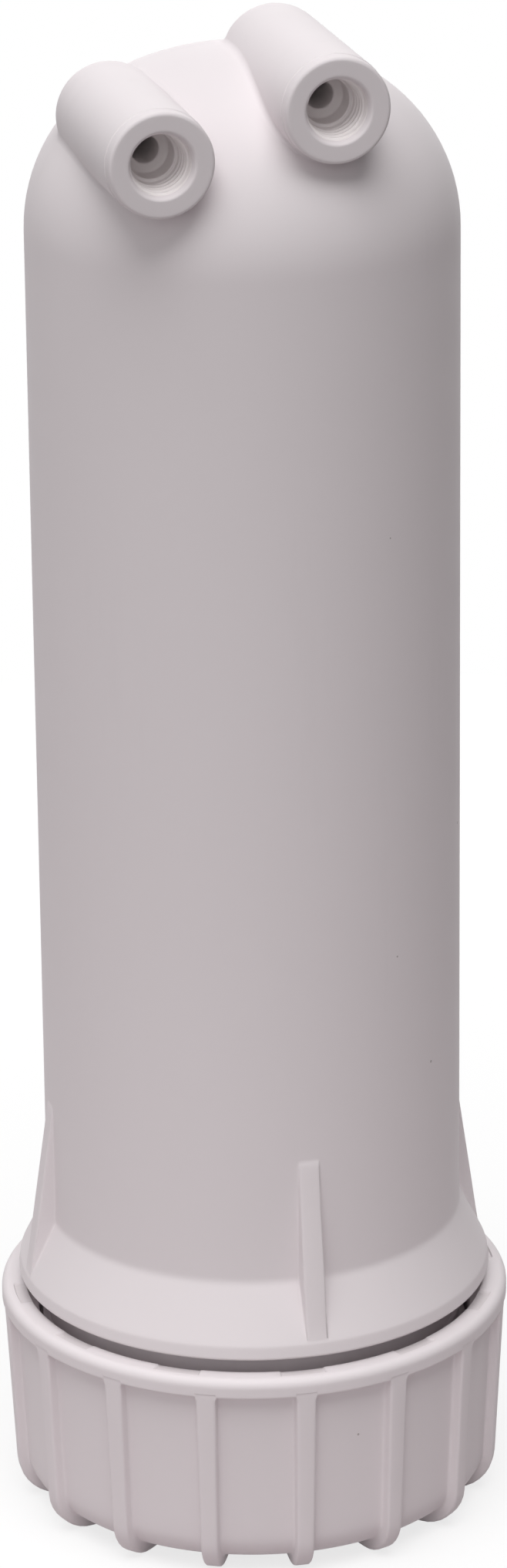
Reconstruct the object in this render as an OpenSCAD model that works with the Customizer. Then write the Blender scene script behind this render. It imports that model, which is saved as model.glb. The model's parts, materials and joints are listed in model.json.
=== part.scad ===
// Reverse osmosis membrane pressure vessel, standing on its screw cap with the ports at the top.
// The vessel's axis is Z, the cap's feet are at z = 0 and the two outlet ports face -Y. Millimetres.

/* [Membrane element] */
// Length of the element over its core tube and plug
element_len = 298; // [240:1:340]
// Thickness of the tape wrapped round the roll
wrap_t = 0.6; // [0.4:0.1:1]
// Outside diameter of the core tube
core_d = 17; // [15:0.25:19]
// Inside diameter of the core tube
core_bore_d = 10; // [8:0.25:11]
// Length of core tube that stands out of each end of the roll
core_stub = 21; // [18:0.5:24]
// Diameter of the holes that let permeate into the core tube
core_hole_d = 2.4; // [1.5:0.1:3.5]
// Number of cross-drilled holes along the core tube
core_hole_count = 10; // [4:1:16]
// Distance between the turns that show at the ends of the roll
turn_pitch = 3.4; // [2.5:0.1:5]
// Width of the groove between two turns
turn_gap = 0.8; // [0.5:0.1:1.2]
// Depth of the groove between two turns
turn_deep = 1.2; // [0.6:0.1:2]
// How far the wrap stays back from the ends of the roll
wrap_setback = 1; // [0.5:0.1:3]
// Height of the brine seal
brine_seal_h = 12; // [9:0.5:16]
// Thickness of the brine seal's rubber
brine_seal_t = 0.9; // [0.7:0.05:1.1]
// Section diameter of the core tube's O-rings
core_ring_d = 1.7; // [1.4:0.1:2]
// Distance between the core tube's O-rings
core_ring_pitch = 5.2; // [4:0.1:6.5]
// Height of the core plug's flange
plug_flange_h = 3; // [2:0.1:5]
// Length of the core plug, with its flange
plug_len = 12; // [8:0.5:18]
// Rounding of the core plug's edges
plug_round = 0.8; // [0.4:0.1:1.2]

/* [Tube and dome] */
// Outside diameter of the tube
tube_d = 94; // [92:0.5:100]
// Wall thickness of the tube and dome
wall = 5.5; // [4.5:0.25:6]
// Radius of the shoulder where the tube turns into the dome
shoulder_r = 37.3; // [28:0.1:40]
// Radius of the dome's crown
crown_r = 62.5; // [56:0.1:90]
// Height of the crown above the top end of the core tube
head_room = 17.2; // [16:0.1:24]
// Wall of the socket that takes the core tube
socket_wall = 3.8; // [3:0.1:5]
// How much wider the socket's mouth is than its end, for the mould to let go
socket_draft = 0.1; // [0.05:0.05:0.3]

/* [Collar] */
// Gap between the cap's rim and the collar
collar_gap = 3.1; // [2:0.1:6]
// How far the collar stands out from the tube
collar_out = 6.8; // [5:0.1:9]
// Height of the collar's upright edge
collar_edge_h = 3.1; // [2:0.1:5]
// Height of the collar's cone
collar_cone_h = 12.9; // [9:0.1:18]
// How far the collar's edge leans in at its top
collar_lean = 0.4; // [0.1:0.1:1]
// Rounding of the collar's upper edge
collar_round = 2; // [1:0.1:3]
// Number of gussets above the collar
gusset_count = 4; // [2:1:8]
// Thickness of a gusset
gusset_t = 4.8; // [3:0.1:7]
// Height of a gusset above the collar's cone
gusset_h = 28.5; // [15:0.5:45]
// How far a gusset's foot stays inside the collar's edge
gusset_inset = 0.2; // [0.1:0.05:0.6]

/* [Outlet ports] */
// Outside diameter of a port barrel
port_d = 23.2; // [21:0.1:25]
// Distance of the port faces from the vessel's axis
port_reach = 44; // [40:0.5:50]
// Distance between the two port barrels, side to side
port_spacing = 37.9; // [32:0.1:42]
// Sideways place of the permeate port
permeate_x = 9.1; // [8:0.1:10.5]
// Depth of the permeate port's axis under the crown
permeate_drop = 4; // [2.5:0.1:5]
// Depth of the concentrate port's axis under the crown
concentrate_drop = 12.7; // [11:0.1:15]
// Length of the permeate barrel to the middle of its round end
permeate_len = 48.5; // [46:0.1:52]
// Length of the concentrate barrel to the middle of its round end
concentrate_len = 43.9; // [40:0.1:47]
// Width of the stepped lip round a port's mouth
lip_w = 3.5; // [2:0.1:5]
// Depth of the step behind the lip
lip_step = 0.2; // [0.1:0.05:0.5]
// Rounding of the lip's edge
lip_round = 1.4; // [0.5:0.1:1.8]
// Diameter at the root of the pipe thread
thread_d = 13.2; // [12:0.1:14]
// Depth of the threaded part of a port
thread_depth = 9.4; // [8:0.1:11]
// Diameter of the plain hole behind the thread
hole_d = 10; // [8:0.1:11.5]
// Depth of a port from its mouth to the end of the plain hole
hole_depth = 14.5; // [12:0.5:18]
// Depth of the chamfer at a port's mouth
mouth_chamfer = 0.6; // [0.3:0.1:1]
// Diameter of the water passage behind the plain hole
passage_d = 6; // [4:0.25:7]

/* [Screw cap] */
// Height of the cap, from its feet to its rim
cap_h = 50.9; // [42:0.2:60]
// Room for the screw thread between neck and cap
thread_room = 2.4; // [1.8:0.1:3]
// Wall of the cap just under its rim
cap_wall = 6; // [5:0.1:8]
// Thickness of the cap's floor
floor_t = 5.5; // [4.5:0.1:8]
// Height of the band round the rim
rim_h = 4.7; // [3:0.1:7]
// Rounding of the rim's outer edge
rim_round = 2; // [1:0.1:2.3]
// Slope of the rim's underside, as a rise over its width
rim_slope = 0.4; // [0.2:0.1:0.8]
// Rounding of the cap's other edges and corners
cap_round = 0.6; // [0.3:0.1:0.8]
// Depth of the step inside the cap's mouth
mouth_step = 2.9; // [2:0.1:4]
// Height of the step inside the cap's mouth
mouth_h = 5; // [3:0.1:8]
// Number of grip ribs
rib_count = 16; // [8:1:24]
// Width of a grip rib under the rim
rib_w = 4.8; // [3:0.1:7]
// Width of a grip rib at its foot
rib_foot_w = 4.1; // [2.5:0.1:6]
// How far the ribs and the rim stand out from the panels
rib_proud = 2.4; // [1.5:0.1:4]
// How far a rib's face stays inside the rim's
rib_inset = 0.15; // [0.1:0.05:0.4]
// How far a rib runs up into the rim
rib_lap = 0.8; // [0.6:0.1:1.5]
// Slope of the cap's side, in degrees
cap_draft = 2.9; // [1:0.1:4]
// Radius where the panels turn under the cap
heel_r = 7.5; // [4:0.1:9]
// Height of the feet that the ribs make under the cap
foot_h = 3; // [2:0.1:5]
// How far the ribs run in under the cap
foot_reach = 16; // [12:0.5:22]
// Number of notches in the rim's inner edge
notch_count = 12; // [6:1:20]
// Width of a notch
notch_w = 10; // [4:0.1:12]
// Depth of a notch into the rim
notch_in = 2.9; // [1:0.1:3.2]
// Depth of a notch below the rim's top
notch_deep = 0.4; // [0.3:0.1:1]
// Angle of the first rib and notch from the ports' direction
grip_phase = -3.8; // [-11:0.1:11]
// Height of the end wall behind the feed port's plain hole
feed_end_t = 2.5; // [2:0.1:4]
// Wall round the feed port's thread
feed_wall = 5.4; // [4:0.1:7]

/* [Cap seal] */
// Section diameter of the cap's O-ring
seal_d = 3.5; // [3:0.1:4]
// Depth of the O-ring's groove in the cap's floor
groove_deep = 2.3; // [1.8:0.1:2.6]
// Height of the spigot that centres the cap in the neck
spigot_h = 6; // [4:0.1:9]
// Wall of the spigot
spigot_t = 2.7; // [2:0.1:4]

/* [Clearances] */
// Clearance between parts that seat in each other
fit = 0.1; // [0.05:0.01:0.2]
// Clearance between parts that turn past each other
running_gap = 0.3; // [0.2:0.05:0.5]
// Space between the core tube's plug and the feed port
core_gap = 2.5; // [1:0.1:4]
// Space between the roll and the socket
socket_gap = 2; // [1:0.1:4]
// Space between the wrapped roll and the bore, which the brine seal closes
brine_gap = 2.8; // [2.4:0.1:4]

/* [Hidden] */
$fn = 128;

// Radii of the vessel and the cap
tube_r = tube_d / 2;
bore_r = tube_r - wall;
cap_bore_r = tube_r + thread_room;
mouth_r = cap_bore_r + mouth_step;
panel_r = cap_bore_r + cap_wall;
cap_r = panel_r + rib_proud;
collar_r = tube_r + collar_out;
port_r = port_d / 2;
thread_r = thread_d / 2;
passage_r = passage_d / 2;
feed_boss_r = thread_r + feed_wall;
spigot_r = bore_r - running_gap;

// Heights of the cap
rim_z = cap_h - rim_h;
floor_z = foot_h + floor_t;
groove_z = floor_z - groove_deep;
neck_z = groove_z + seal_d + 2 * fit;
feed_boss_z = foot_h + hole_depth + feed_end_t;

// Heights of the element
core_z = feed_boss_z + core_gap;
core_top_z = core_z + element_len;
roll_z = core_z + core_stub;
roll_top_z = core_top_z - core_stub;

// Heights of the vessel
collar_z = cap_h + collar_gap;
collar_cone_z = collar_z + collar_edge_h;
collar_top_z = collar_cone_z + collar_cone_h;
crown_z = core_top_z + head_room;
crown_centre_z = crown_z - crown_r;
shoulder_z = crown_centre_z + sqrt(pow(crown_r - shoulder_r, 2) - pow(tube_r - shoulder_r, 2));
permeate_z = crown_z - permeate_drop;
concentrate_z = crown_z - concentrate_drop;
concentrate_x = permeate_x - port_spacing;

// Element radii
core_r = core_d / 2;
core_bore_r = core_bore_d / 2;
wrap_r = bore_r - brine_gap;
roll_r = wrap_r - wrap_t - fit;
socket_r = core_r + running_gap;
socket_boss_r = socket_r + socket_wall;
socket_z = roll_top_z + socket_gap;
core_ring_r = socket_r - fit - core_ring_d / 2;
core_groove_r = core_ring_r - core_ring_d / 2 - fit;
core_groove_h = core_ring_d + 4 * fit;

over = 1; // how far a cut runs past the face that it opens

function unit(v) = v / norm(v);

// Points along an arc about a middle point, from one angle to another
function arc(middle, radius, from, to, steps) =
    [for (i = [0 : steps]) let (a = from + (to - from) * i / steps) middle + radius * [cos(a), sin(a)]];

// Points that round one corner [x, y, radius] of an outline, between the corners before and after it
function corner(p, before, after) =
    p[2] == 0 ? [[p[0], p[1]]] :
    let (
        tip = [p[0], p[1]],
        u = unit([before[0], before[1]] - tip),
        v = unit([after[0], after[1]] - tip),
        half = acos(u * v) / 2,
        middle = tip + unit(u + v) * p[2] / sin(half),
        a = tip + u * p[2] / tan(half) - middle,
        b = tip + v * p[2] / tan(half) - middle,
        start = atan2(a[1], a[0]),
        turn = atan2(a[0] * b[1] - a[1] * b[0], a * b)
    )
    arc(middle, p[2], start, start + turn, max(3, ceil(p[2])));

// Outline whose corners are [x, y, radius]
function rounded(path) =
    [for (i = [0 : len(path) - 1])
        each corner(path[i], path[(i + len(path) - 1) % len(path)], path[(i + 1) % len(path)])];

// Copies around the axis, the first one at the given angle from the ports' direction
module around(count, phase = 0) {
    for (i = [0 : count - 1]) rotate(phase + i * 360 / count - 90) children();
}

// A flat plate in the plane of radius and height, with its thickness to both sides
module fin(thickness) {
    rotate([90, 0, 0]) linear_extrude(thickness, center = true) children();
}

// A ring of round section
module torus(ring_r, section_d, z) {
    translate([0, 0, z]) rotate_extrude() translate([ring_r, 0]) circle(d = section_d);
}

// Half outline of a solid tube with a domed end: a straight side, a shoulder arc and a crown arc
function domed_outline(radius, foot_z, shoulder, crown, steps) =
    let (reach = radius - shoulder, meet = acos(reach / (crown - shoulder)))
    concat(
        [[0, foot_z], [radius, foot_z]],
        arc([reach, shoulder_z], shoulder, 0, meet, steps),
        arc([0, crown_centre_z], crown, meet + (90 - meet) * 2 / steps, 90, steps / 2 - 1)
    );

module shell() {
    rotate_extrude() difference() {
        polygon(domed_outline(tube_r, neck_z, shoulder_r, crown_r, 14));
        polygon(domed_outline(bore_r, neck_z - over, shoulder_r - wall, crown_r - wall, 8));
    }
}

// Conical collar that closes down over the cap's rim
module collar() {
    inside_r = tube_r - wall / 2;
    rotate_extrude() polygon(rounded([
        [inside_r, collar_z, 0],
        [collar_r, collar_z, collar_round / 4],
        [collar_r - collar_lean, collar_cone_z, collar_round],
        [tube_r, collar_top_z, 0],
        [inside_r, collar_top_z, 0],
    ]));
}

module gusset() {
    inside_r = tube_r - wall / 2;
    fin(gusset_t) polygon([
        [inside_r, collar_cone_z],
        [collar_r - collar_lean - gusset_inset, collar_cone_z],
        [tube_r, collar_top_z + gusset_h],
        [inside_r, collar_top_z + gusset_h],
    ]);
}

// Places a port's own frame: its mouth at the origin, and its depth along +Z
module at_port(x, z) {
    translate([x, -port_reach, z]) rotate([-90, 0, 0]) children();
}

module port_barrel(length) {
    lip_r = port_r - lip_step;
    rotate_extrude() {
        polygon(rounded([
            [0, 0, 0],
            [lip_r, 0, lip_round],
            [lip_r, lip_w, 0],
            [port_r, lip_w, lip_step / 2],
            [port_r, length, 0],
            [0, length, 0],
        ]));
        translate([0, length]) intersection() {
            circle(port_r);
            square(port_r);
        }
    }
}

// Threaded bore with its chamfered mouth, and the plain hole and the passage behind it
module port_bore(passage_len) {
    mouth_bore_r = thread_r + mouth_chamfer;
    translate([0, 0, -over]) cylinder(r = mouth_bore_r, h = over);
    cylinder(r1 = mouth_bore_r, r2 = thread_r, h = mouth_chamfer);
    cylinder(r = thread_r, h = thread_depth);
    cylinder(d = hole_d, h = hole_depth);
    cylinder(r = passage_r, h = passage_len);
}

// Upright passage between the inside of the vessel and a port's own passage
module riser(x, y, from_z, to_z) {
    translate([x, y, from_z]) cylinder(r = passage_r, h = to_z - from_z);
}

module vessel_body() {
    color("#eeeaec") difference() {
        union() {
            shell();
            collar();
            around(gusset_count) gusset();
            at_port(permeate_x, permeate_z) port_barrel(permeate_len);
            at_port(concentrate_x, concentrate_z) port_barrel(concentrate_len);
            translate([0, 0, socket_z]) cylinder(r = socket_boss_r, h = crown_z - wall / 2 - socket_z);
        }
        at_port(permeate_x, permeate_z) port_bore(permeate_len);
        at_port(concentrate_x, concentrate_z) port_bore(concentrate_len);
        translate([0, 0, socket_z - over])
            cylinder(r1 = socket_r + socket_draft, r2 = socket_r, h = core_top_z + fit + over - socket_z);
        riser(socket_r - passage_r - fit, 0, core_top_z, permeate_z);
        riser(concentrate_x, concentrate_len - port_reach - passage_r, shoulder_z, concentrate_z);
    }
}

// Half section of the cap without its ribs, from the axis round the outside to the feed port's boss
module cap_section() {
    seal_r = (tube_r + bore_r) / 2;
    groove_half = seal_d / 2 + 2 * fit;
    heel_corner_r = panel_r - (rim_z - foot_h) * tan(cap_draft);
    polygon(rounded([
        [0, foot_h, 0],
        [heel_corner_r, foot_h, heel_r],
        [panel_r, rim_z, cap_round],
        [cap_r, rim_z + rim_slope, cap_round],
        [cap_r, cap_h, rim_round],
        [mouth_r, cap_h, cap_round],
        [mouth_r, cap_h - mouth_h, 0],
        [cap_bore_r, cap_h - mouth_h - mouth_step / 2, 0],
        [cap_bore_r, floor_z, cap_round],
        [seal_r + groove_half, floor_z, 0],
        [seal_r + groove_half, groove_z, 0],
        [seal_r - groove_half, groove_z, 0],
        [seal_r - groove_half, floor_z, 0],
        [spigot_r, floor_z, 0],
        [spigot_r, floor_z + spigot_h, cap_round],
        [spigot_r - spigot_t, floor_z + spigot_h, cap_round],
        [spigot_r - spigot_t, floor_z, cap_round],
        [feed_boss_r, floor_z, cap_round],
        [feed_boss_r, feed_boss_z, cap_round],
        [0, feed_boss_z, 0],
    ]));
}

// Grip rib that runs down the side of the cap, round its heel and in under its floor
module grip_rib() {
    inside_r = cap_bore_r + cap_wall / 4;
    inside_z = foot_h + floor_t / 2;
    rib_r = cap_r - rib_inset;
    foot_corner_r = rib_r - rim_z * tan(cap_draft);
    foot_end_r = foot_corner_r - foot_reach;
    rib_top_z = rim_z + rib_lap;
    intersection() {
        fin(rib_w) polygon(rounded([
            [inside_r, rib_top_z, 0],
            [rib_r, rib_top_z, 0],
            [rib_r, rim_z, 0],
            [foot_corner_r, 0, heel_r + rib_proud],
            [foot_end_r, 0, foot_h / 2],
            [foot_end_r - foot_h / 2, inside_z, 0],
            [inside_r, inside_z, 0],
        ]));
        rotate([90, 0, 90]) linear_extrude(cap_r) polygon([
            [-rib_foot_w / 2, -over],
            [rib_foot_w / 2, -over],
            [rib_w / 2, rib_top_z],
            [-rib_w / 2, rib_top_z],
        ]);
    }
}

module screw_cap() {
    color("#e9e5e8") difference() {
        union() {
            rotate_extrude() cap_section();
            around(rib_count, grip_phase) grip_rib();
        }
        translate([0, 0, foot_h]) port_bore(hole_depth + feed_end_t + over);
        around(notch_count, grip_phase)
            translate([mouth_r - over, -notch_w / 2, cap_h - notch_deep])
                cube([notch_in + over, notch_w, notch_deep + over]);
    }
}

module cap_o_ring() {
    color("#26282b") torus((tube_r + bore_r) / 2, seal_d, groove_z + fit + seal_d / 2);
}

function core_ring_z(i) = core_top_z - core_stub / 2 + (i - 0.5) * core_ring_pitch;

module permeate_tube() {
    drilled_len = roll_top_z - roll_z;
    color("#d9dad6") difference() {
        translate([0, 0, core_z + plug_flange_h]) cylinder(r = core_r, h = element_len - plug_flange_h);
        translate([0, 0, core_z]) cylinder(r = core_bore_r, h = element_len + over);
        for (i = [0 : 1]) translate([0, 0, core_ring_z(i) - core_groove_h / 2]) difference() {
            cylinder(r = core_r + over, h = core_groove_h);
            cylinder(r = core_groove_r, h = core_groove_h);
        }
        for (i = [1 : core_hole_count])
            translate([0, 0, roll_z + drilled_len * i / (core_hole_count + 1)]) rotate([90, 0, 90 * (i % 2)])
                cylinder(d = core_hole_d, h = 2 * core_d, center = true);
    }
}

// Plug that closes the core tube's feed end
module core_plug() {
    color("#3a3d42") translate([0, 0, core_z]) rotate_extrude() polygon(rounded([
        [0, 0, 0],
        [core_r, 0, plug_round],
        [core_r, plug_flange_h, 0],
        [core_bore_r - fit, plug_flange_h, 0],
        [core_bore_r - fit, plug_len, plug_round],
        [0, plug_len, 0],
    ]));
}

// Wound membrane leaves and spacers, with the edges of the turns at both ends
module membrane_roll() {
    inner_r = core_r + fit;
    color("#e6dfc8") difference() {
        translate([0, 0, roll_z]) cylinder(r = roll_r, h = roll_top_z - roll_z);
        translate([0, 0, roll_z - over]) cylinder(r = inner_r, h = roll_top_z - roll_z + 2 * over);
        for (r = [inner_r + turn_pitch : turn_pitch : roll_r - turn_pitch / 2], z = [roll_z, roll_top_z])
            translate([0, 0, z - turn_deep]) difference() {
                cylinder(r = r + turn_gap / 2, h = 2 * turn_deep);
                cylinder(r = r - turn_gap / 2, h = 2 * turn_deep);
            }
    }
}

module outer_wrap() {
    color("#f4f4f0") translate([0, 0, roll_z + wrap_setback]) difference() {
        cylinder(r = wrap_r, h = roll_top_z - roll_z - 2 * wrap_setback);
        translate([0, 0, -over]) cylinder(r = roll_r + fit, h = roll_top_z - roll_z);
    }
}

// Rubber cup seal between the wrap and the bore, its lip open towards the feed
module brine_seal() {
    inner_r = wrap_r + fit;
    lip_r = bore_r - fit;
    color("#2b2d30") translate([0, 0, roll_z + brine_seal_h / 2]) rotate_extrude() polygon([
        [inner_r, 0],
        [inner_r + brine_seal_t, 0],
        [inner_r + brine_seal_t, brine_seal_h / 2],
        [lip_r - brine_seal_t, 0],
        [lip_r, 0],
        [lip_r, brine_seal_h / 6],
        [inner_r + brine_seal_t, brine_seal_h],
        [inner_r, brine_seal_h],
    ]);
}

module core_o_ring(i) {
    color("#26282b") torus(core_ring_r, core_ring_d, core_ring_z(i));
}

vessel_body();
screw_cap();
cap_o_ring();
permeate_tube();
core_plug();
membrane_roll();
outer_wrap();
brine_seal();
core_o_ring(0);  // lower_core_o_ring
core_o_ring(1);  // upper_core_o_ring
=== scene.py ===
# %% [markdown]
# # A membrane pressure vessel, dressed for the studio
# The object is a white moulded housing for a water membrane. It stands on its screw cap with its two outlet
# ports on top. The drawing already holds every piece at its real size, so this script never moves anything.
# It loads the drawing as a fixed frame, makes finer skins for the two mouldings, and gives each piece a
# finish.

# %% Load the frame
import json
import math

import bmesh
import bpy
import numpy as np
from mathutils import Matrix, Vector


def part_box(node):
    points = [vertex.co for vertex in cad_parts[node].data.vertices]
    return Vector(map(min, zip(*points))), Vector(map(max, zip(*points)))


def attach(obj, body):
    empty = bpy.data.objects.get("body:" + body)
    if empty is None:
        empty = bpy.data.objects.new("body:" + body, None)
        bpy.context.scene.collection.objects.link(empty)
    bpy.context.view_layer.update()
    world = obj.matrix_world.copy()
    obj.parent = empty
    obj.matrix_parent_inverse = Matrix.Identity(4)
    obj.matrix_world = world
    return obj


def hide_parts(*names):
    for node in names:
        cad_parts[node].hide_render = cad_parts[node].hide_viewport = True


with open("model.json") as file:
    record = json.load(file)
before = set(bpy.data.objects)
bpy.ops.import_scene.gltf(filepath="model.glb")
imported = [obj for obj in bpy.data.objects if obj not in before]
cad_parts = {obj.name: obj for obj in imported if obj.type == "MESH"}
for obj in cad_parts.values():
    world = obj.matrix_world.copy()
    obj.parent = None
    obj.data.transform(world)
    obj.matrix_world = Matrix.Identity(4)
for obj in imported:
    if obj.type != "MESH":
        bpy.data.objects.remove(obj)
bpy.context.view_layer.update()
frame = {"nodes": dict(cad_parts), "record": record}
print("pieces in the frame:", ", ".join(sorted(frame["nodes"])))

# %% [markdown]
# ## Sizes
# A mould maker thinks in millimetres, so the shapes are worked out in millimetres and turned into Blender's
# metres when a mesh is made. The frame gives the outer boxes and the places of the ports. The sizes between
# them are the drawing's own, each written once.

# %% Sizes from the frame
MM = 0.001
mounts = {mount["name"]: mount for mount in frame["record"]["mounts"]}


def box_mm(node):
    low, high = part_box(node)
    return np.array(low) / MM, np.array(high) / MM


def port_place(name):
    """Place of the middle of a port's thread, and the thread's radius and length."""
    x, y, z = np.array(mounts[name]["pos_m"]) / MM
    return x, y, z, mounts[name]["dims"]["r_mm"], mounts[name]["dims"]["length_mm"]


body_low, body_high = box_mm("vessel_body")
_, cap_high = box_mm("screw_cap")
permeate_x, thread_mid_y, permeate_z, thread_r, thread_len = port_place("permeate_port")
concentrate_x, _, concentrate_z, _, _ = port_place("concentrate_port")
print("thread of the ports: %.1f mm across, %.1f mm long" % (2 * thread_r, thread_len))

# %% Sizes of the vessel
edge_round = 0.6
tube_r = 47.0
wall = 5.5
bore_r = tube_r - wall
shoulder_r = 37.3
crown_r = 62.5
crown_z = permeate_z + 4.0
crown_centre_z = crown_z - crown_r
shoulder_reach = tube_r - shoulder_r
shoulder_z = crown_centre_z + math.sqrt((crown_r - shoulder_r) ** 2 - shoulder_reach ** 2)
meet_angle = math.degrees(math.acos(shoulder_reach / (crown_r - shoulder_r)))
neck_z = body_low[2]

cap_h = cap_high[2]
collar_z = cap_h + 3.1
collar_cone_z = collar_z + 3.1
collar_top_z = collar_cone_z + 12.9
collar_r = tube_r + 6.8
collar_lean = 0.4
collar_line_round = 3.5
collar_edge_round = 2.5
gusset_count = 4
gusset_half = 2.4
gusset_top_z = collar_top_z + 28.5
gusset_foot_r = collar_r - collar_lean - 0.2
gusset_end = 0.3

socket_r = 8.8
socket_draft = 0.1
socket_round = 0.3
socket_boss_r = socket_r + 3.8
socket_z = 301.5
socket_end_z = 320.6
print("tube %.1f mm across, crown at %.1f mm" % (2 * tube_r, crown_z))

# %% Sizes of the ports
port_r = body_high[2] - permeate_z
mouth_chamfer = 0.6
port_face_y = thread_mid_y - thread_len / 2 - mouth_chamfer
thread_depth = thread_len + mouth_chamfer
permeate_len = 48.5
concentrate_len = 43.9
port_ends = {
    "permeate": (permeate_x, permeate_z, permeate_len),
    "concentrate": (concentrate_x, concentrate_z, concentrate_len),
}
lip_w = 3.5
lip_slope_w = 0.22
lip_r = port_r - 0.2
lip_round = 0.8
thread_end_r = 5.7
hole_r = 5.0
hole_depth = 14.5
passage_r = 3.0
mouth_round = 0.7
throat_round = 0.9
thread_end_round = 0.2
step_round = 0.3
hole_round = 0.5
passage_round = 0.4
print("port barrels %.1f mm across, holes %.1f mm deep" % (2 * port_r, hole_depth))

# %% Sizes of the cap
cap_r = cap_high[0]
cap_bore_r = tube_r + 2.4
mouth_r = cap_bore_r + 2.9
mouth_z = cap_h - 5.0
mouth_cone_z = cap_h - 6.45
mouth_edge = 0.7
panel_r = cap_bore_r + 6.0
rim_z = cap_h - 4.7
rim_round = 2.0
ledge_top_z = rim_z + 1.3
ledge_edge_z = rim_z + 0.4
ledge_round = 0.5
ledge_foot_z = rim_z - 3
foot_h = 3.0
floor_z = foot_h + 5.5
heel_r = 7.5
cap_draft = math.tan(math.radians(2.9))
rib_count = 16
rib_half_top = 2.4
rib_half_foot = 2.05
rib_proud = cap_r - panel_r
rib_inset = 0.15
foot_reach = 16.0
notch_count = 12
notch_half = 5.0
notch_in = 2.9
notch_deep = 0.4
grip_phase = math.radians(-90 - 3.8)
feed_boss_r = thread_r + 5.4
feed_boss_z = foot_h + hole_depth + 2.5
seal_d = 3.5
groove_z = floor_z - 2.3
seal_r = tube_r - wall / 2
groove_half = seal_d / 2 + 0.2
groove_round = 0.3
spigot_r = bore_r - 0.3
spigot_in_r = spigot_r - 2.7
spigot_z = floor_z + 6.0
print("cap %.1f mm across, %.1f mm high, %d ribs" % (2 * cap_r, cap_h, rib_count))

# %% [markdown]
# ## The camera
# The photograph was taken from a little above and to the left of the ports, with a long lens. Its place was
# found by matching the ellipses of the collar and the rim, so the camera is set by numbers and not by eye.
# The lens is worked out from the focal length in pixels of the picture's long side.

# %% Camera
PICTURE_TALL = 2034
focal_px = 7963
camera_azimuth = math.radians(-15.2)
camera_distance = 1277.2
camera_z = 652.4
camera_pan = math.radians(0.05)
camera_tilt = math.radians(20.69)
camera_roll = math.radians(-0.63)
SENSOR_MM = 36


def make_camera():
    forward = np.array((math.sin(camera_pan) * math.cos(camera_tilt),
                        math.cos(camera_pan) * math.cos(camera_tilt),
                        -math.sin(camera_tilt)))
    level = np.array((math.cos(camera_pan), -math.sin(camera_pan), 0))
    upright = np.cross(level, forward)
    right = math.cos(camera_roll) * level + math.sin(camera_roll) * upright
    up = math.cos(camera_roll) * upright - math.sin(camera_roll) * level
    place = np.array((0, -camera_distance, camera_z)) * MM
    pose = Matrix.Identity(4)
    for i, column in enumerate((right, up, -forward, place)):
        for j in range(3):
            pose[j][i] = column[j]
    data = bpy.data.cameras.new("camera")
    data.sensor_fit = "VERTICAL"
    data.sensor_height = SENSOR_MM
    data.lens = focal_px * SENSOR_MM / PICTURE_TALL
    camera = bpy.data.objects.new("camera", data)
    bpy.context.scene.collection.objects.link(camera)
    camera.matrix_world = Matrix.Rotation(camera_azimuth, 4, "Z") @ pose
    return camera


camera = make_camera()
bpy.context.scene.camera = camera
print("lens %.1f mm" % camera.data.lens)

# %% [markdown]
# ## Outlines
# Both mouldings are turned shapes: an outline swept round an axis. A moulding has no truly sharp edges, so
# an outline is given by its corners, each with the radius of its rounding. Guard points stand close beside
# each arc. They keep the smooth shading of the arc from spreading over the flat faces next to it.

# %% Outline helpers
GUARD = 0.5
FINE_STEP = 12
PLAIN_STEP = 30
LEAST_STEPS = 3


def unit(v):
    return v / np.linalg.norm(v)


def arc(middle, radius, start, end, steps):
    """Points along an arc, with its angles in degrees."""
    angles = np.radians(np.linspace(start, end, steps + 1))
    return np.column_stack((middle[0] + radius * np.cos(angles), middle[1] + radius * np.sin(angles)))


def corner_arc(before, here, after, step):
    """Points that round the corner `here` = (x, y, radius) in steps of `step` degrees, and their guards."""
    tip = np.array(here[:2], float)
    back, on = np.array(before[:2], float) - tip, np.array(after[:2], float) - tip
    u, v = unit(back), unit(on)
    half = math.acos(np.clip(u @ v, -1, 1)) / 2
    run = here[2] / math.tan(half)
    middle = tip + unit(u + v) * here[2] / math.sin(half)
    a, b = tip + u * run - middle, tip + v * run - middle
    start = math.degrees(math.atan2(a[1], a[0]))
    turn = math.degrees(math.atan2(a[0] * b[1] - a[1] * b[0], a @ b))
    points = arc(middle, here[2], start, start + turn, max(LEAST_STEPS, math.ceil(abs(turn) / step)))
    guards = []
    for way, full in ((u, back), (v, on)):
        has_room = np.linalg.norm(full) > 2 * run + 2 * GUARD
        guards.append([tip + way * (run + GUARD)] if has_room else [])
    return guards[0] + list(points) + guards[1]


def rounded(corners, step=FINE_STEP):
    """Open outline through corners (x, y, radius). Its two ends stay as they are."""
    points = [np.array(corners[0][:2], float)]
    for before, here, after in zip(corners, corners[1:], corners[2:]):
        points += corner_arc(before, here, after, step) if here[2] else [np.array(here[:2], float)]
    points.append(np.array(corners[-1][:2], float))
    return np.array(points)


def divided(outline, longest):
    """The same outline with more points, so that no stretch is longer than `longest`."""
    points = [outline[:1]]
    for a, b in zip(outline, outline[1:]):
        steps = max(1, math.ceil(np.linalg.norm(b - a) / longest))
        points.append(a + (b - a) * (np.arange(1, steps + 1) / steps)[:, None])
    return np.concatenate(points)


print("points of one rounded corner:", len(rounded([(0, 0, 0), (9, 0, 1), (9, 9, 0)])) - 2)

# %% [markdown]
# ## Skins
# A skin is a grid of points: its rows follow the outline and its columns go round the axis. Ribs and
# gussets need no cutting and joining. The grid has one outline for the plain wall and one for the crest of
# the ribs, and each column knows how far it stands between the two. The columns crowd together at the rib's
# edges, where they make its rounded corners and the small fillets at its root.

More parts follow.
